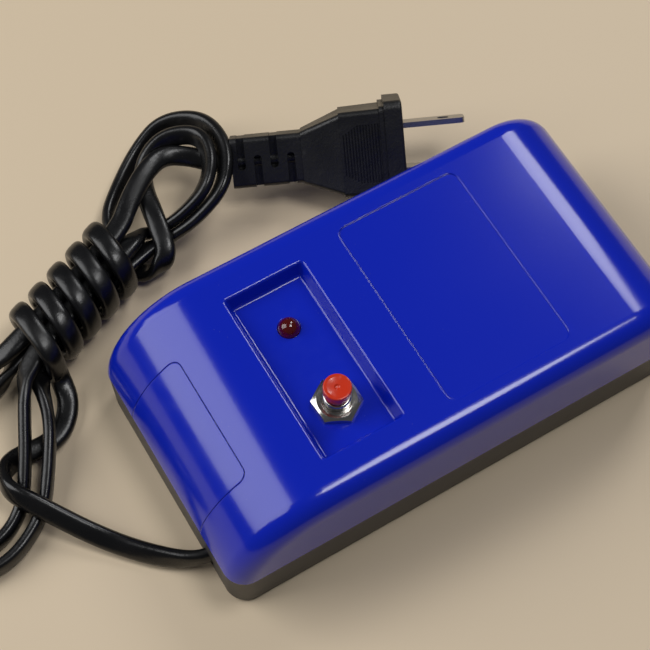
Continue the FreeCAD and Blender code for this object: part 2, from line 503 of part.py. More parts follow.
def tube_along(name, places, size, sides=0):
    wire, way = route(name, places, size)
    start = V(*places[0])
    across = (V(1, 0, 0) if abs(way.z) > 0.9 else way.cross(V(0, 0, 1))).normalize()
    up = across.cross(way)
    if sides:
        rim = [start + across * (size / 2 * math.cos(2 * math.pi * (i + 0.5) / sides)) + up * (size / 2 * math.sin(2 * math.pi * (i + 0.5) / sides))
               for i in range(sides)]
        section = Part.makePolygon(rim + [rim[0]])
    else:
        section = Part.Wire([Part.makeCircle(size / 2, start, way)])
    solid = wire.makePipeShell([section], True, False)
    area = Part.Face(section).Area
    print(name, "volume against section times length", round(solid.Volume / (area * wire.Length), 3), solid.isValid(), round(solid.BoundBox.ZMin, 2))
    item = doc.addObject("Part::Feature", name + "_form")
    item.Shape = solid
    return item


wires = {
    "live_wire": [(-45, -22.2, 5.2), (-34, -22.2, 5.2), (-25.1, -14.1, 9.5), (-25.1, -14.1, 17.5)],
    "neutral_wire": [(-45, -19.8, 5.2), (-37, -19.8, 5.2), (-32.5, -12, 13), (-32.5, -4, 21.5), (-39, -4, 21.5)],
    "switched_wire": [(-25.1, -9.7, 17.5), (-25.1, -9.7, 11), (-17, -18, 11), (-6, -26, 15), (10, -25.5, 20), (10, -21.5, 20)],
    "return_wire": [(10, 21.5, 20), (10, 25.5, 20), (-6, 26, 16), (-28, 12, 16), (-32.5, 4, 21.5), (-39, 4, 21.5)],
}
for label, places in wires.items():
    node(label, tube_along(label, places, 1.6, 6))


# Plug, modelled along its own axis and then laid on the table
def wedge(name, x0, x1, w0, h0, w1, h1):
    w = doc.addObject("Part::Wedge", name)
    w.Xmin, w.Xmax, w.Zmin, w.Zmax = -w0 / 2, w0 / 2, -h0 / 2, h0 / 2
    w.X2min, w.X2max, w.Z2min, w.Z2max = -w1 / 2, w1 / 2, -h1 / 2, h1 / 2
    w.Ymin, w.Ymax = 0, x1 - x0
    w.Placement = FreeCAD.Placement(V(x0, 0, 0), FreeCAD.Rotation(V(0, 0, 1), -90))
    return w


long_edge = lambda b: b.XMax - b.XMin > 4
plug_pieces = [
    soften("relief_round", wedge("relief_wedge", 1.5, 21.5, 14.3, 8, 14.3, 8.2), long_edge, 1.4),
    soften("shoulder_round", wedge("shoulder_wedge", 21.5, 33, 14.9, 8.8, 23.4, 13), long_edge, 1.4),
    soften("grip_round", wedge("grip_wedge", 32.6, 46, 24, 13.6, 24.6, 14.8), long_edge, 1.4),
    soften("ridge_round", block("ridge_block", "44", "45.6", "-12.9", "12.9", "-8", "8"), lambda b: b.XMax - b.XMin > 1, 1.6),
]
flange = soften("flange_round", block("flange_block", "45.4", "50.4", "-14.2", "14.2", "-8.7", "8.7"), long_edge, 2.4)
plug_pieces.append(soften("flange_face", flange, lambda b: near(b.XMin, 50.4) and near(b.XMax, 50.4), 0.8))
relief_core = rod("relief_core", "1.5", "0", "0", "cord_size / 2 - 0.1", "21", "x")

# Relief slots from alternate sides, round at their inner ends
relief_slots = []
for i, (x, inner, outer) in enumerate(((4.4, -0.8, 8), (9, 1, -8), (13.7, -0.8, 8), (18.4, 1, -8))):
    relief_slots.append(block("relief_slot%d" % i, x - 1.1, x + 1.1, min(inner, outer), max(inner, outer), "-5", "5"))
    relief_slots.append(rod("relief_slot_end%d" % i, x, inner, "-5", "1.1", "10"))

# Ribs of the grip, shorter towards the cord
ribs = []
for i in range(13):
    x = 33.3 + 0.82 * i
    half = 6.8 + (x - 32.6) * 0.6 / 12.8
    reach = min(8.2, 5.7 + 0.5 * i)
    ribs.append(block("rib_up%d" % i, x, x + 0.4, -reach, reach, half - 0.35, half + 1))
    ribs.append(block("rib_down%d" % i, x, x + 0.4, -reach, reach, -half - 1, -half + 0.35))

# Two blades, each in a slot of the flange
blade_items = []
blade_slots = []
for i, side in enumerate((-1, 1)):
    low = "%d * blade_pitch / 2 - blade_thick / 2" % side
    high = "%d * blade_pitch / 2 + blade_thick / 2" % side
    b = block("blade_block%d" % i, "42", "50.4 + blade_length", low, high, "-blade_width / 2", "blade_width / 2")
    tip = 50.4 + vals["blade_length"]
    nosed = soften("blade_nose%d" % i, b, lambda e: near(e.XMin, tip) and e.YMax - e.YMin > 1 and e.ZMax - e.ZMin < 1, 1.4)
    hole = rod("blade_hole%d" % i, "62", "%d * blade_pitch / 2 - 2" % side, "0", "1.6", "4", "y")
    blade_items.append(cut("blade%d" % i, nosed, hole))
    blade_slots.append(block("blade_slot%d" % i, "42", "52", low, high, "-blade_width / 2", "blade_width / 2"))
plug_pieces[0] = cut("relief_cut", plug_pieces[0], *relief_slots)
plug = cut("plug_cut", fuse("plug_whole", relief_core, *plug_pieces), *(ribs + blade_slots))
blade_pair = fuse("blades_all", *blade_items)
for label, item in (("plug_moulding", plug), ("plug_blades", blade_pair)):
    item.Placement = FreeCAD.Placement(V(0, 0, 0), FreeCAD.Rotation(vals["plug_turn"], vals["plug_tilt"], vals["plug_roll"]))
    for field, value in (("x", "plug_x"), ("y", "plug_y"), ("z", "plug_z")):
        item.setExpression("Placement.Base." + field, link(value))
    node(label, item)


# Lead: from the clamp out through the nose, along the table and up to the hank's last turn
lead_places = [
    (-64.5, -21, 5.2), (-70.2, -21, 5.2), (-79, -14.5, 2.9), (-89.5, -2.5, 2.6), (-101, 13.1, 8.9), (-105.8, 21.2, 8.6),
    (-102, 30, 2.4), (-87.1, 28.5, 2.4), (-79.6, 36, 2.5), (-78.6, 43.9, 4.6), (-78.5, 44.5, 9.6),
]
node("power_cord", tube_along("power_cord", lead_places, vals["cord_size"]))

# Hank from the plug: strand, outer far loop, loop by the plug, inner far loop, inner loop, five turns
strand = [
    (-7.3, 75.4, 12.2), (-12.4, 77.9, 11.6), (-15.8, 81.8, 11), (-19.9, 86.7, 11.4), (-29.3, 83.6, 14.1), (-37.5, 78.7, 14),
    (-45.8, 70.9, 13.3),
]
outer_far = [
    (-85.9, 54.3, 12.8), (-94.5, 54.8, 7.6), (-105.2, 52, 2.6), (-120.1, 46, 2.5), (-133.3, 36.3, 2.5), (-137.6, 21.3, 2.5),
    (-130.2, 7, 2.5), (-114.3, 3.1, 2.5), (-100.1, 10.9, 2.4), (-92.8, 21.4, 6), (-86.1, 33.4, 8.5), (-83.5, 49.7, 7.6),
]
outer_near = [
    (-45.1, 65, 8), (-34.3, 64.3, 3.4), (-26.9, 64.5, 7), (-17, 65.3, 12), (-12.6, 70.1, 18.1), (-7.7, 83.3, 17.5),
    (-8.1, 93.1, 16), (-15.1, 98.4, 12), (-25.9, 95.9, 8), (-38.2, 87.7, 4), (-45.2, 70.5, 8.2),
]
inner_far = [
    (-84.7, 54.8, 7.6), (-92.4, 50.2, 3.2), (-104.9, 46.2, 2.5), (-117.5, 40.2, 2.5), (-128.1, 32, 2.5), (-131.3, 21.9, 2.5),
    (-125.9, 12.2, 2.5), (-114.9, 9.4, 2.5), (-104.6, 14.5, 2.4), (-97.8, 25.1, 6.4), (-90.7, 38.9, 10.8), (-84.9, 49.1, 12.9),
]
inner_near = [
    (-43.8, 66.2, 13.3), (-40.1, 71.2, 6.6), (-32.4, 70.7, 4.5), (-24, 69.1, 11), (-18, 70.7, 17.2), (-14.7, 79.1, 17.3),
    (-12.6, 86.3, 16.7), (-16.3, 91.2, 14.5), (-25, 92.2, 12.3), (-31.4, 84.7, 8.3), (-34.4, 70.6, 10.8), (-36.2, 59.1, 8.7),
]
turns_round = [
    (-44.3, 59.9, 2.4), (-52.4, 75.1, 2.4), (-52.2, 74.9, 18.8), (-50.1, 57.2, 18.7),
    (-50.2, 56.2, 2.4), (-58.7, 71.5, 2.4), (-59.3, 72, 18.8), (-57.2, 54.2, 18.6),
    (-57.4, 53.3, 2.4), (-65.9, 68.8, 2.4), (-66.4, 68.9, 18.8), (-64.3, 51.2, 18.4),
    (-64.6, 50.4, 2.4), (-73.2, 66.1, 2.4), (-73.4, 65.8, 18.7), (-71.4, 48.1, 18.3),
    (-71.6, 47.4, 2.4), (-80.3, 63.6, 2.4), (-80.5, 62.7, 18.9), (-78.5, 45.5, 17.7), (-78.5, 44.5, 9.6),
]
hank_places = strand + outer_far + outer_near + inner_far + inner_near + turns_round
node("cord_hank", tube_along("cord_hank", hank_places, vals["cord_size"], 8))
marks = route("cord_hank_check", hank_places, vals["cord_size"])[0].discretize(Distance=1.0)
least = min((marks[i] - marks[j]).Length for i in range(len(marks)) for j in range(i + 14, len(marks)))
print("cord_hank least gap to itself", round(least - vals["cord_size"], 2))

doc.recompute()
for item in doc.Objects:
    if "Invalid" in item.State or "Error" in item.State:
        raise RuntimeError("%s %s" % (item.Name, item.State))
for item in nodes:
    if item.Shape.isNull() or not item.Shape.isValid():
        raise RuntimeError("bad shape " + item.Label)
    item.Shape.exportStep("parts/%s.step" % item.Label)
    box = item.Shape.optimalBoundingBox()
    print(item.Label, len(item.Shape.Solids), round(item.Shape.Volume, 1), [round(v, 2) for v in (box.XMin, box.XMax, box.YMin, box.YMax, box.ZMin, box.ZMax)])
print("nodes", len(nodes))
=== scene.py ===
import bpy
import math
from mathutils import Matrix, Vector


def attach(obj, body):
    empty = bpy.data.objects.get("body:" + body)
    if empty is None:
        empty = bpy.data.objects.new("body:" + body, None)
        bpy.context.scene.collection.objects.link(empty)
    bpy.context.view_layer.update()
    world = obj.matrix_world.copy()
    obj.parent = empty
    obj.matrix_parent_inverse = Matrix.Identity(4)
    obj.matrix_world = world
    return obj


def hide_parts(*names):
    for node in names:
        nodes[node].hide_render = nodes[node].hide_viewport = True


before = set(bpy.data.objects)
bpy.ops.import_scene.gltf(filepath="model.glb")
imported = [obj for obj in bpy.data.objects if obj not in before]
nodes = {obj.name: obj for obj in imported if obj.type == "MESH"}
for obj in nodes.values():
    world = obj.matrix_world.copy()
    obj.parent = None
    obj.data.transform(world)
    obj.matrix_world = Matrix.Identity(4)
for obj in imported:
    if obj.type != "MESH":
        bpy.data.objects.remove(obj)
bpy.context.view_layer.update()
mm = 0.001


# Camera, fitted to the corners of the case and the plug blades
def placeCamera(at, right, up, ahead, lens):
    data = bpy.data.cameras.new("camera")
    data.lens = lens
    data.sensor_width = 36
    data.clip_start = 0.01
    data.clip_end = 20
    camera = bpy.data.objects.new("camera", data)
    turn = Matrix([[right[i], up[i], -ahead[i]] for i in range(3)]).to_4x4()
    camera.matrix_world = Matrix.Translation(Vector(at)) @ turn
    bpy.context.scene.collection.objects.link(camera)
    bpy.context.scene.camera = camera


placeCamera(
    at=(-0.113545, -0.147663, 0.415745),
    right=(0.86025, -0.50976, 0.01042),
    up=(0.45515, 0.77698, 0.43490),
    ahead=(0.22979, 0.36938, -0.90042),
    lens=91.74,
)


# Soft boxes, each aimed at the case
boxDistance = 1.0
aimHeight = 0.03


def softBox(name, way, width, height, power):
    data = bpy.data.lights.new(name, "AREA")
    data.shape = "RECTANGLE"
    data.size = width
    data.size_y = height
    data.energy = power
    box = bpy.data.objects.new(name, data)
    way = Vector(way).normalized()
    box.location = way * boxDistance + Vector((0, 0, aimHeight))
    box.rotation_mode = "QUATERNION"
    box.rotation_quaternion = way.to_track_quat("Z", "Y")
    bpy.context.scene.collection.objects.link(box)


softBox("noseSoftBox", way=(-0.62, 0.42, 0.60), width=0.7, height=0.85, power=6)
softBox("topSoftBox", way=(0.25, -0.14, 0.95), width=0.3, height=0.3, power=2.6)
softBox("endSoftBox", way=(0.60, 0.36, 0.72), width=0.26, height=0.36, power=2)

room = {"color": (0.9, 0.93, 1, 1), "strength": 0.075}
world = bpy.data.worlds.new("studio")
bpy.context.scene.world = world
world.use_nodes = True
world.node_tree.nodes["Background"].inputs["Color"].default_value = room["color"]
world.node_tree.nodes["Background"].inputs["Strength"].default_value = room["strength"]
bpy.context.scene.view_settings.view_transform = "Standard"

# Shader helpers
kinds = {"color": "NodeSocketColor", "value": "NodeSocketFloat", "vector": "NodeSocketVector"}


class Graph:
    def __init__(self, tree):
        self.tree = tree

    def add(self, kind, **facts):
        node = self.tree.nodes.new("ShaderNode" + kind)
        for key, value in facts.items():
            setattr(node, key, value)
        return node

    def feed(self, node, **values):
        for key, value in values.items():
            numbered = key.startswith("in") and key[2:].isdigit()
            socket = node.inputs[int(key[2:]) if numbered else key.replace("_", " ")]
            if isinstance(value, bpy.types.NodeSocket):
                self.tree.links.new(value, socket)
            else:
                socket.default_value = value
        return node

    def math(self, operation, a, b, clamp=False):
        node = self.add("Math", operation=operation, use_clamp=clamp)
        self.feed(node, in0=a, in1=b)
        return node.outputs[0]

    def noise(self, vector, scale, detail, roughness=0.5):
        node = self.feed(self.add("TexNoise"), Vector=vector, Scale=scale, Detail=detail, Roughness=roughness)
        return node.outputs["Fac"]

    def span(self, value, low, high, outLow=0.0, outHigh=1.0):
        node = self.add("MapRange", clamp=True)
        self.feed(node, in0=value, in1=low, in2=high, in3=outLow, in4=outHigh)
        return node.outputs[0]

    def blend(self, fac, a, b):
        node = self.add("Mix", data_type="RGBA")
        self.feed(node, in0=fac, in6=a, in7=b)
        return node.outputs[2]


def groupOf(name, inputs, outputs):
    tree = bpy.data.node_groups.new(name, "ShaderNodeTree")
    for title, kind, value in inputs:
        socket = tree.interface.new_socket(name=title, in_out="INPUT", socket_type=kinds[kind])
        socket.default_value = value
    for title, kind in outputs:
        tree.interface.new_socket(name=title, in_out="OUTPUT", socket_type=kinds[kind])
    g = Graph(tree)
    return g, tree.nodes.new("NodeGroupInput"), tree.nodes.new("NodeGroupOutput")


def finishGroup(g, out, **links):
    for key, socket in links.items():
        g.tree.links.new(socket, out.inputs[key.replace("_", " ")])
    return g.tree


# Moulded plastic: fine grain, slow waviness, rubbed edges, dust specks and hairline scratches.
# Scales are in features a metre, pairs are the noise values where a mask starts and ends.
moulded = {
    "edgeWear": (0.56, 0.66), "wearPatches": 220.0, "patchRange": (0.4, 0.65),
    "specks": 850.0, "speckSize": (0.075, 0.04), "speckPatches": 130.0, "speckRange": (0.56, 0.7),
    "dustColor": (0.62, 0.64, 0.7, 1), "scratchStretch": (1, 7, 1), "scratchTurn": (0, 0, 0.5), "scratchScale": 55.0,
    "scratchWidth": 0.006, "scratchPatches": 45.0, "scratchRange": (0.55, 0.62),
    "smears": 34.0, "smearRange": (0.35, 0.7), "smearGloss": (-0.006, 0.01), "wornRoughness": 0.3,
    "grainHeight": 0.25, "waveHeight": 0.4, "scratchDepth": 0.4,
}


def makeMouldedGroup():
    g, source, out = groupOf("mouldedPlastic", [
        ("Plastic Color", "color", (0.5, 0.5, 0.5, 1)), ("Rubbed Color", "color", (0.7, 0.7, 0.7, 1)),
        ("Gloss", "value", 0.3), ("Rubbing", "value", 0.3), ("Dust", "value", 0.2),
        ("Grain Scale", "value", 900.0), ("Wave Scale", "value", 60.0), ("Scratches", "value", 0.3),
    ], [("Base Color", "color"), ("Roughness", "value"), ("Bump Height", "value")])
    pin = source.outputs
    place = g.add("TexCoord").outputs["Object"]
    edge = g.add("NewGeometry").outputs["Pointiness"]
    patch = g.noise(place, moulded["wearPatches"], 4)
    edgeMask = g.math("MULTIPLY", g.span(edge, *moulded["edgeWear"]), g.span(patch, *moulded["patchRange"]))
    rubbed = g.math("MULTIPLY", edgeMask, pin["Rubbing"], True)
    color = g.blend(rubbed, pin["Plastic Color"], pin["Rubbed Color"])
    dots = g.feed(g.add("TexVoronoi", feature="F1"), Vector=place, Scale=moulded["specks"])
    specks = g.span(dots.outputs["Distance"], *moulded["speckSize"])
    speckPatch = g.span(g.noise(place, moulded["speckPatches"], 2), *moulded["speckRange"])
    dust = g.math("MULTIPLY", g.math("MULTIPLY", specks, speckPatch), pin["Dust"], True)
    dusty = g.blend(dust, color, moulded["dustColor"])
    stretch, turn = moulded["scratchStretch"], moulded["scratchTurn"]
    warp = g.feed(g.add("Mapping"), Vector=place, Scale=stretch, Rotation=turn)
    cells = g.add("TexVoronoi", feature="DISTANCE_TO_EDGE")
    g.feed(cells, Vector=warp.outputs[0], Scale=moulded["scratchScale"])
    line = g.span(cells.outputs["Distance"], moulded["scratchWidth"], 0.0)
    linePatch = g.span(g.noise(place, moulded["scratchPatches"], 2), *moulded["scratchRange"])
    scored = g.math("MULTIPLY", g.math("MULTIPLY", line, linePatch), pin["Scratches"], True)
    smear = g.span(g.noise(place, moulded["smears"], 5, 0.6), *moulded["smearRange"], *moulded["smearGloss"])
    gloss = g.math("ADD", pin["Gloss"], smear)
    worn = g.math("ADD", rubbed, g.math("ADD", scored, dust))
    rough = g.math("ADD", gloss, g.math("MULTIPLY", worn, moulded["wornRoughness"]), True)
    grain = g.noise(place, pin["Grain Scale"], 2)
    wave = g.noise(place, pin["Wave Scale"], 1)
    fine = g.math("MULTIPLY", grain, moulded["grainHeight"])
    slow = g.math("MULTIPLY", wave, moulded["waveHeight"])
    height = g.math("ADD", fine, slow)
    height = g.math("SUBTRACT", height, g.math("MULTIPLY", scored, moulded["scratchDepth"]))
    return finishGroup(g, out, Base_Color=dusty, Roughness=rough, Bump_Height=height)


# Plated or drawn metal: brushed lines, tarnish and bright worn edges
worked = {
    "lineStretch": (1, 1, 14), "clouds": 160.0, "cloudRange": (0.45, 0.75), "edgeWear": (0.52, 0.6),
    "tarnishRoughness": 0.35, "lineRange": (0.3, 0.7), "lineGloss": (-0.04, 0.06),
}


def makeMetalGroup():
    g, source, out = groupOf("workedMetal", [
        ("Metal Color", "color", (0.7, 0.7, 0.7, 1)), ("Tarnish Color", "color", (0.3, 0.25, 0.2, 1)),
        ("Polish", "value", 0.2), ("Tarnish", "value", 0.3), ("Line Scale", "value", 400.0),
    ], [("Base Color", "color"), ("Roughness", "value"), ("Bump Height", "value")])
    pin = source.outputs
    place = g.add("TexCoord").outputs["Object"]
    stretched = g.feed(g.add("Mapping"), Vector=place, Scale=worked["lineStretch"]).outputs[0]
    lines = g.noise(stretched, pin["Line Scale"], 3)
    cloud = g.span(g.noise(place, worked["clouds"], 5, 0.6), *worked["cloudRange"])
    edge = g.span(g.add("NewGeometry").outputs["Pointiness"], *worked["edgeWear"])
    stain = g.math("MULTIPLY", g.math("SUBTRACT", cloud, edge, True), pin["Tarnish"], True)
    color = g.blend(stain, pin["Metal Color"], pin["Tarnish Color"])
    dull = g.math("MULTIPLY", stain, worked["tarnishRoughness"])
    brushed = g.span(lines, *worked["lineRange"], *worked["lineGloss"])
    rough = g.math("ADD", pin["Polish"], g.math("ADD", dull, brushed), True)
    return finishGroup(g, out, Base_Color=color, Roughness=rough, Bump_Height=lines)


# Extruded cord cover: fine grain, scuffs and a dry bloom
extruded = {
    "blooms": 90.0, "bloomRange": (0.3, 0.7), "bloomGloss": (-0.05, 0.08), "scuffPatches": (0.5, 0.65),
    "scuffs": 420.0, "scuffRange": (0.6, 0.72), "scuffRoughness": 0.3, "lumps": 240.0, "lumpHeight": 2.0,
}


def makeCordGroup():
    g, source, out = groupOf("cordCover", [
        ("Cover Color", "color", (0.02, 0.02, 0.02, 1)), ("Scuff Color", "color", (0.2, 0.2, 0.2, 1)),
        ("Sheen", "value", 0.35), ("Scuffs", "value", 0.2), ("Grain Scale", "value", 1200.0),
    ], [("Base Color", "color"), ("Roughness", "value"), ("Bump Height", "value")])
    pin = source.outputs
    place = g.add("TexCoord").outputs["Object"]
    bloom = g.noise(place, extruded["blooms"], 4, 0.6)
    marks = g.span(g.noise(place, extruded["scuffs"], 3), *extruded["scuffRange"])
    scuff = g.math("MULTIPLY", marks, g.span(bloom, *extruded["scuffPatches"]))
    mask = g.math("MULTIPLY", scuff, pin["Scuffs"], True)
    color = g.blend(mask, pin["Cover Color"], pin["Scuff Color"])
    dry = g.span(bloom, *extruded["bloomRange"], *extruded["bloomGloss"])
    rough = g.math("ADD", pin["Sheen"], g.math("ADD", dry, g.math("MULTIPLY", mask, extruded["scuffRoughness"])), True)
    grain = g.noise(place, pin["Grain Scale"], 2)
    lumps = g.math("MULTIPLY", g.noise(place, extruded["lumps"], 2), extruded["lumpHeight"])
    height = g.math("ADD", grain, lumps)
    return finishGroup(g, out, Base_Color=color, Roughness=rough, Bump_Height=height)


groups = {"moulded": makeMouldedGroup(), "metal": makeMetalGroup(), "cord": makeCordGroup()}


# bump is strength and distance, soften the radius in metres that edges are rounded by in the shading
bevelSamples = 12


def material(name, group, bump, shader, soften=0.0, **values):
    m = bpy.data.materials.new(name)
    m.use_nodes = True
    g = Graph(m.node_tree)
    principled = m.node_tree.nodes["Principled BSDF"]
    look = m.node_tree.nodes.new("ShaderNodeGroup")
    look.node_tree = groups[group]
    g.feed(look, **values)
    strength, distance = bump
    bumpNode = g.feed(g.add("Bump"), Strength=strength, Distance=distance, Height=look.outputs["Bump Height"])
    if soften:
        g.feed(bumpNode, Normal=g.feed(g.add("Bevel", samples=bevelSamples), Radius=soften).outputs[0])
    g.feed(principled, Base_Color=look.outputs["Base Color"], Roughness=look.outputs["Roughness"])
    g.feed(principled, Normal=bumpNode.outputs[0])
    for key, value in shader.items():
        principled.inputs[key].default_value = value
    return m


def dress(name, m):
    data = nodes[name].data
    data.materials.clear()
    data.materials.append(m)


def rgb(r, g, b):
    return (r, g, b, 1)


looks = {
    "blueCover": material(
        "blueCover", "moulded", bump=(0.03, 0.0003), soften=0.0004,
        shader={"IOR": 1.5, "Coat Weight": 0.15, "Coat Roughness": 0.05},
        Plastic_Color=rgb(0.003, 0.018, 0.5), Rubbed_Color=rgb(0.02, 0.045, 0.56), Gloss=0.15,
        Rubbing=0.15, Dust=0.25, Grain_Scale=1500.0, Wave_Scale=30.0, Scratches=0.25,
    ),
    "blackBase": material(
        "blackBase", "moulded", bump=(0.2, 0.0003),
        shader={"IOR": 1.5},
        Plastic_Color=rgb(0.013, 0.013, 0.015), Rubbed_Color=rgb(0.09, 0.09, 0.1), Gloss=0.42,
        Rubbing=0.4, Dust=0.4, Grain_Scale=1800.0, Wave_Scale=60.0, Scratches=0.4,
    ),
    "redCap": material(
        "redCap", "moulded", bump=(0.06, 0.0002),
        shader={"IOR": 1.5, "Coat Weight": 0.3},
        Plastic_Color=rgb(0.64, 0.036, 0.009), Rubbed_Color=rgb(0.8, 0.2, 0.15), Gloss=0.22,
        Rubbing=0.4, Dust=0.3, Grain_Scale=2500.0, Wave_Scale=200.0, Scratches=0.5,
    ),
    "nylonPart": material(
        "nylonPart", "moulded", bump=(0.2, 0.0003),
        shader={"IOR": 1.5},
        Plastic_Color=rgb(0.62, 0.58, 0.5), Rubbed_Color=rgb(0.75, 0.72, 0.66), Gloss=0.45,
        Rubbing=0.3, Dust=0.2, Grain_Scale=1600.0, Wave_Scale=90.0, Scratches=0.2,
    ),
    "amberTape": material(
        "amberTape", "moulded", bump=(0.25, 0.0003),
        shader={"IOR": 1.5},
        Plastic_Color=rgb(0.6, 0.34, 0.04), Rubbed_Color=rgb(0.8, 0.6, 0.2), Gloss=0.3, Rubbing=0.3,
        Dust=0.2, Grain_Scale=900.0, Wave_Scale=120.0, Scratches=0.3,
    ),
    "windingWire": material(
        "windingWire", "cord", bump=(0.5, 0.0004),
        shader={"IOR": 1.6},
        Cover_Color=rgb(0.36, 0.1, 0.03), Scuff_Color=rgb(0.7, 0.35, 0.15), Sheen=0.25, Scuffs=0.4,
        Grain_Scale=1400.0,
    ),
    "platedSteel": material(
        "platedSteel", "metal", bump=(0.1, 0.0001),
        shader={"Metallic": 1.0},
        Metal_Color=rgb(0.62, 0.6, 0.57), Tarnish_Color=rgb(0.3, 0.27, 0.23), Polish=0.16, Tarnish=0.3,
        Line_Scale=900.0,
    ),
    "nickelBlade": material(
        "nickelBlade", "metal", bump=(0.1, 0.0001),
        shader={"Metallic": 1.0},
        Metal_Color=rgb(0.4, 0.4, 0.41), Tarnish_Color=rgb(0.2, 0.18, 0.16), Polish=0.3, Tarnish=0.3,
        Line_Scale=900.0,
    ),
    "zincScrew": material(
        "zincScrew", "metal", bump=(0.2, 0.0001),
        shader={"Metallic": 1.0},
        Metal_Color=rgb(0.62, 0.62, 0.62), Tarnish_Color=rgb(0.3, 0.3, 0.3), Polish=0.32, Tarnish=0.4,
        Line_Scale=700.0,
    ),
    "brassContact": material(
        "brassContact", "metal", bump=(0.2, 0.0001),
        shader={"Metallic": 1.0},
        Metal_Color=rgb(0.76, 0.55, 0.24), Tarnish_Color=rgb(0.35, 0.2, 0.08), Polish=0.28,
        Tarnish=0.5, Line_Scale=800.0,
    ),
    "coreSteel": material(
        "coreSteel", "metal", bump=(0.5, 0.0002),
        shader={"Metallic": 0.9},
        Metal_Color=rgb(0.3, 0.3, 0.32), Tarnish_Color=rgb(0.12, 0.08, 0.06), Polish=0.4, Tarnish=0.6,
        Line_Scale=1500.0,
    ),
    "cordRubber": material(
        "cordRubber", "cord", bump=(0.1, 0.0003),
        shader={"IOR": 1.5},
        Cover_Color=rgb(0.0045, 0.0045, 0.005), Scuff_Color=rgb(0.04, 0.04, 0.04), Sheen=0.27,
        Scuffs=0.25, Grain_Scale=1500.0,
    ),
    "plugRubber": material(
        "plugRubber", "cord", bump=(0.3, 0.0003),
        shader={"IOR": 1.5},
        Cover_Color=rgb(0.008, 0.008, 0.009), Scuff_Color=rgb(0.07, 0.07, 0.07), Sheen=0.38,
        Scuffs=0.4, Grain_Scale=1700.0,
    ),
    "wireCover": material(
        "wireCover", "cord", bump=(0.2, 0.0002),
        shader={"IOR": 1.5},
        Cover_Color=rgb(0.05, 0.05, 0.055), Scuff_Color=rgb(0.15, 0.15, 0.15), Sheen=0.4, Scuffs=0.2,
        Grain_Scale=1500.0,
    ),
    "redLens": material(
        "redLens", "moulded", bump=(0.03, 0.0001),
        shader={"IOR": 1.49, "Transmission Weight": 0.75, "Coat Weight": 0.5, "Coat Roughness": 0.05},
        Plastic_Color=rgb(0.3, 0.012, 0.01), Rubbed_Color=rgb(0.6, 0.1, 0.1), Gloss=0.1, Rubbing=0.2,
        Dust=0.2, Grain_Scale=2500.0, Wave_Scale=300.0, Scratches=0.2,
    ),
}

wearing = {
    "blueCover": ("upper_cover", "nose_hatch"),
    "blackBase": ("lower_case", "selector_body"),
    "redCap": ("button_cap",),
    "nylonPart": ("button_plunger", "switch_body", "lamp_resistor", "coil_bobbin", "cord_clamp", "selector_slider"),
    "amberTape": ("winding_tape",),
    "windingWire": ("coil_winding",),
    "platedSteel": ("button_bushing", "lock_washer", "button_nut", "switch_spring", "lamp_legs"),
    "nickelBlade": ("plug_blades",),
    "zincScrew": ("case_screws", "core_clamp", "core_clamp_screws", "cord_clamp_screws", "selector_screws"),
    "brassContact": ("moving_contact", "switch_terminals", "selector_pins"),
    "coreSteel": ("core_laminations",),
    "cordRubber": ("lead_tail",),
    "plugRubber": ("plug_moulding",),
    "wireCover": ("lamp_diode", "live_wire", "neutral_wire", "switched_wire", "return_wire"),
    "redLens": ("lamp_lens",),
}
for look, names in wearing.items():
    for name in names:
        dress(name, looks[look])
print("materials done")

# The flat lead and its hank, one spline from the nose to the plug, with the way its wide side points
upright = (0, 0, 1)
alongWaist = (-0.915, -0.404, 0)
acrossWaist = (0.404, -0.915, 0)
plugAcross = (0.29, 0.69, 0.66)
lead = [
    ((-64.5, -21, 5.2), upright), ((-70.2, -21, 5.2), upright), ((-79, -14.5, 3.4), (0.45, 0.35, 0.82)),
    ((-89.5, -2.5, 3), (0.62, 0.5, 0.6)), ((-101, 13.1, 8.9), (0.58, 0.5, 0.64)),
    ((-105.8, 21.2, 8.8), (0.35, 0.4, 0.85)), ((-102, 30, 2.4), (0.3, 0.9, 0.5)),
    ((-87.1, 28.5, 2.0), (-0.2, 1, 0.1)), ((-79.6, 36, 2.4), (-0.9, 0.4, 0)),
    ((-78.6, 43.9, 4.6), alongWaist), ((-78.5, 44.5, 9.6), alongWaist),
]
turns = [
    (-78.5, 45.5, 17.7), (-80.5, 62.7, 18.9), (-80.3, 63.6, 2.4), (-71.6, 47.4, 2.4), (-71.4, 48.1, 18.3),
    (-73.4, 65.8, 18.7), (-73.2, 66.1, 2.4), (-64.6, 50.4, 2.4), (-64.3, 51.2, 18.4), (-66.4, 68.9, 18.8),
    (-65.9, 68.8, 2.4), (-57.4, 53.3, 2.4), (-57.2, 54.2, 18.6), (-59.3, 72, 18.8), (-58.7, 71.5, 2.4),
    (-50.2, 56.2, 2.4), (-50.1, 57.2, 18.7), (-52.2, 74.9, 18.8), (-52.4, 75.1, 2.4), (-44.3, 59.9, 2.4),
]
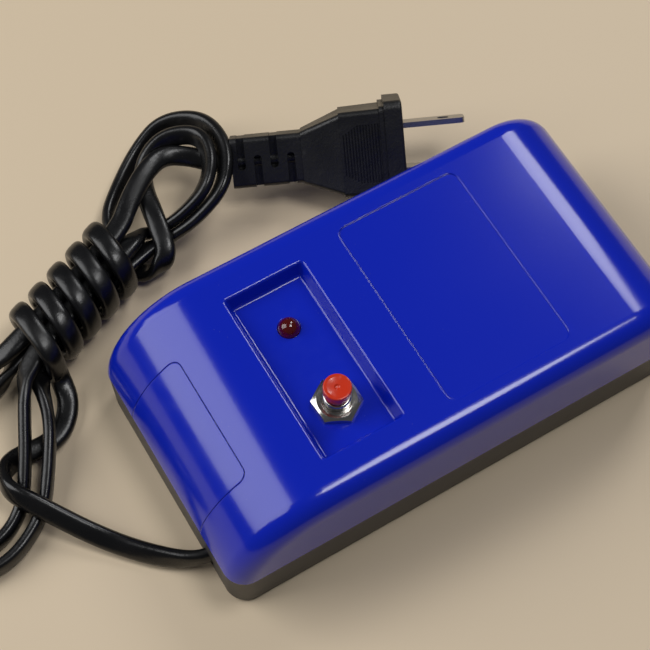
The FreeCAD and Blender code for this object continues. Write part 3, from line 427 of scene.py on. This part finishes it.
innerNear = [
    ((-36.2, 59.1, 8.7), (-0.9, 0.35, 0)), ((-34.4, 70.6, 10.8), (-0.95, 0.1, -0.1)),
    ((-31.9, 84.5, 9.0), (-0.8, 0.1, 0.5)), ((-26.4, 89.9, 12.0), (-0.5, 0.3, 0.8)),
    ((-19.2, 90.9, 14.5), (-0.15, 0.55, 0.82)), ((-11.5, 85.8, 16.3), (0.3, 0.45, 0.83)),
    ((-13.1, 76.4, 17.8), (0.55, 0.05, 0.83)), ((-18.8, 69.0, 17.2), (0.5, -0.25, 0.83)),
    ((-27.1, 67.9, 11.5), (0.3, -0.4, 0.87)), ((-35.3, 69.6, 5.5), (0.2, -0.4, 0.9)),
    ((-40.1, 71.2, 6.6), (0.2, -0.4, 0.9)), ((-43.8, 66.2, 12.8), acrossWaist),
]
innerFar = [
    ((-84.9, 49.1, 12.7), acrossWaist), ((-90.7, 38.9, 10.8), upright), ((-97.8, 25.1, 6.6), upright),
    ((-104.6, 14.5, 3), upright), ((-114.9, 9.4, 3), upright), ((-125.9, 12.2, 3), upright),
    ((-131.3, 21.9, 3), upright), ((-128.1, 32, 3), upright), ((-117.5, 40.2, 3), upright),
    ((-104.9, 46.2, 3), upright), ((-92.4, 50.2, 3.8), upright), ((-84.7, 54.8, 7.4), acrossWaist),
]
outerNear = [
    ((-45.2, 70.5, 7.8), acrossWaist), ((-45.5, 80.0, 5.0), (-0.5, 0.3, 0.8)),
    ((-36.4, 89.0, 4.5), (-0.55, 0.3, 0.78)), ((-26.8, 95.6, 6.5), (-0.45, 0.45, 0.77)),
    ((-17.2, 98.5, 10.0), (-0.2, 0.6, 0.77)), ((-7.8, 91.0, 14.3), (0.35, 0.5, 0.79)),
    ((-7.4, 78.1, 17.2), (0.57, 0.1, 0.82)), ((-14.0, 66.8, 17.4), (0.52, -0.25, 0.82)),
    ((-24.6, 64.3, 12.0), (0.3, -0.45, 0.84)), ((-33.5, 65.9, 5.5), (0.25, -0.4, 0.88)),
    ((-45.1, 65, 7.9), acrossWaist),
]
outerFar = [
    ((-83.5, 49.7, 7.6), acrossWaist), ((-86.1, 33.4, 8.5), upright), ((-92.8, 21.4, 6), upright),
    ((-100.1, 10.9, 3), upright), ((-114.3, 3.1, 3), upright), ((-130.2, 7, 3), upright),
    ((-137.6, 21.3, 3), upright), ((-133.3, 36.3, 3), upright), ((-120.1, 46, 3), upright),
    ((-105.2, 52, 3), upright), ((-94.5, 54.8, 7.6), (0.3, -0.6, 0.7)), ((-85.9, 54.3, 12.6), acrossWaist),
]
strand = [
    ((-45.8, 70.9, 12.9), acrossWaist), ((-38.1, 78.3, 14), (-0.5, 0.8, 0.2)),
    ((-29.8, 84.4, 14), (-0.5, 0.8, 0.25)), ((-23.1, 87.0, 12.8), (-0.3, 0.85, 0.4)),
    ((-16.3, 83.7, 11.3), plugAcross), ((-11.9, 78.6, 11.6), plugAcross), ((-7.3, 75.4, 12.2), plugAcross),
]
route = lead + [(p, alongWaist) for p in turns] + innerNear + innerFar + outerNear + outerFar + strand
cord = {"wide": 5.8 * mm, "thin": 3.4 * mm, "around": 20, "faceRounding": 0.7, "edgeRounding": 0.75,
        "exit": (-0.0686, -0.021, 0.0052), "splineSteps": 10}


def splineLine(name, places):
    data = bpy.data.curves.new(name, "CURVE")
    data.dimensions = "3D"
    data.resolution_u = cord["splineSteps"]
    spline = data.splines.new("NURBS")
    spline.points.add(len(places) - 1)
    for point, place in zip(spline.points, places):
        point.co = (place[0] * mm, place[1] * mm, place[2] * mm, 1)
    spline.order_u = 3
    spline.use_endpoint_u = True
    holder = bpy.data.objects.new(name, data)
    bpy.context.scene.collection.objects.link(holder)
    mesh = bpy.data.meshes.new_from_object(holder)
    line = [v.co.copy() for v in mesh.vertices]
    bpy.data.objects.remove(holder)
    bpy.data.meshes.remove(mesh)
    return line


def flatLead(name, places, wide, thin):
    line = splineLine(name + "Line", [p for p, way in places])
    ways = [Vector(way) for p, way in places]
    for i in range(1, len(ways)):
        if ways[i].dot(ways[i - 1]) < 0:
            ways[i] = -ways[i]
    count = len(line)
    around = cord["around"]
    verts = []
    last = None
    for k, point in enumerate(line):
        spot = min(max((len(places) - 2) * k / (count - 1) + 0.5, 0), len(places) - 1)
        low = min(int(spot), len(places) - 2)
        way = ways[low].lerp(ways[low + 1], spot - low)
        ahead = (line[min(k + 1, count - 1)] - line[max(k - 1, 0)]).normalized()
        side = (way - ahead * way.dot(ahead)).normalized()
        if last and side.dot(last) < 0:
            side = -side
        last = side
        up = ahead.cross(side)
        for i in range(around):
            angle = 2 * math.pi * (i + 0.5) / around
            c, s = math.cos(angle), math.sin(angle)
            a = math.copysign(abs(c) ** cord["faceRounding"], c) * wide / 2
            b = math.copysign(abs(s) ** cord["edgeRounding"], s) * thin / 2
            verts.append(point + side * a + up * b)
    faces = []
    for k in range(count - 1):
        for i in range(around):
            beside = (i + 1) % around
            faces.append((k * around + i, k * around + beside, (k + 1) * around + beside, (k + 1) * around + i))
    faces.append(tuple(reversed(range(around))))
    faces.append(tuple(range((count - 1) * around, count * around)))
    mesh = bpy.data.meshes.new(name)
    mesh.from_pydata(verts, [], faces)
    for polygon in mesh.polygons:
        polygon.use_smooth = len(polygon.vertices) == 4
    piece = bpy.data.objects.new(name, mesh)
    bpy.context.scene.collection.objects.link(piece)
    return piece, line


leadPiece, leadLine = flatLead("mainsLead", route, cord["wide"], cord["thin"])
leadPiece.data.materials.append(looks["cordRubber"])
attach(leadPiece, "case")
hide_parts("power_cord", "cord_hank")

# Rubber behind the relief slots, so they end in the moulding instead of opening on the table
web = {"low": (2.3, -6.9, -3.4), "high": (21.2, 6.9, 1.8), "turn": -26.3, "tilt": -3.8, "roll": 41.5,
       "at": (-8.5, 76, 12.1)}


def slotWeb(name, low, high, turn, tilt, roll, at):
    way = (Matrix.Rotation(math.radians(turn), 4, "Z") @ Matrix.Rotation(math.radians(tilt), 4, "Y")
           @ Matrix.Rotation(math.radians(roll), 4, "X"))
    corners = [(x, y, z) for x in (low[0], high[0]) for y in (low[1], high[1]) for z in (low[2], high[2])]
    verts = [(way @ Vector(c) + Vector(at)) * mm for c in corners]
    faces = [(0, 1, 3, 2), (4, 6, 7, 5), (0, 4, 5, 1), (2, 3, 7, 6), (0, 2, 6, 4), (1, 5, 7, 3)]
    mesh = bpy.data.meshes.new(name)
    mesh.from_pydata(verts, [], faces)
    piece = bpy.data.objects.new(name, mesh)
    bpy.context.scene.collection.objects.link(piece)
    return piece


webPiece = slotWeb("reliefWeb", **web)
webPiece.data.materials.append(looks["plugRubber"])
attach(webPiece, "case")

# Plain pale floor
table = {"half": 3, "color": (0.75, 0.61, 0.43, 1), "roughness": 0.55}
floorMesh = bpy.data.meshes.new("floor")
half = table["half"]
floorMesh.from_pydata([(-half, -half, 0), (half, -half, 0), (half, half, 0), (-half, half, 0)], [], [(0, 1, 2, 3)])
floorPiece = bpy.data.objects.new("floor", floorMesh)
bpy.context.scene.collection.objects.link(floorPiece)
floorLook = bpy.data.materials.new("paleFloor")
floorLook.use_nodes = True
floorShader = floorLook.node_tree.nodes["Principled BSDF"]
floorShader.inputs["Base Color"].default_value = table["color"]
floorShader.inputs["Roughness"].default_value = table["roughness"]
floorMesh.materials.append(floorLook)
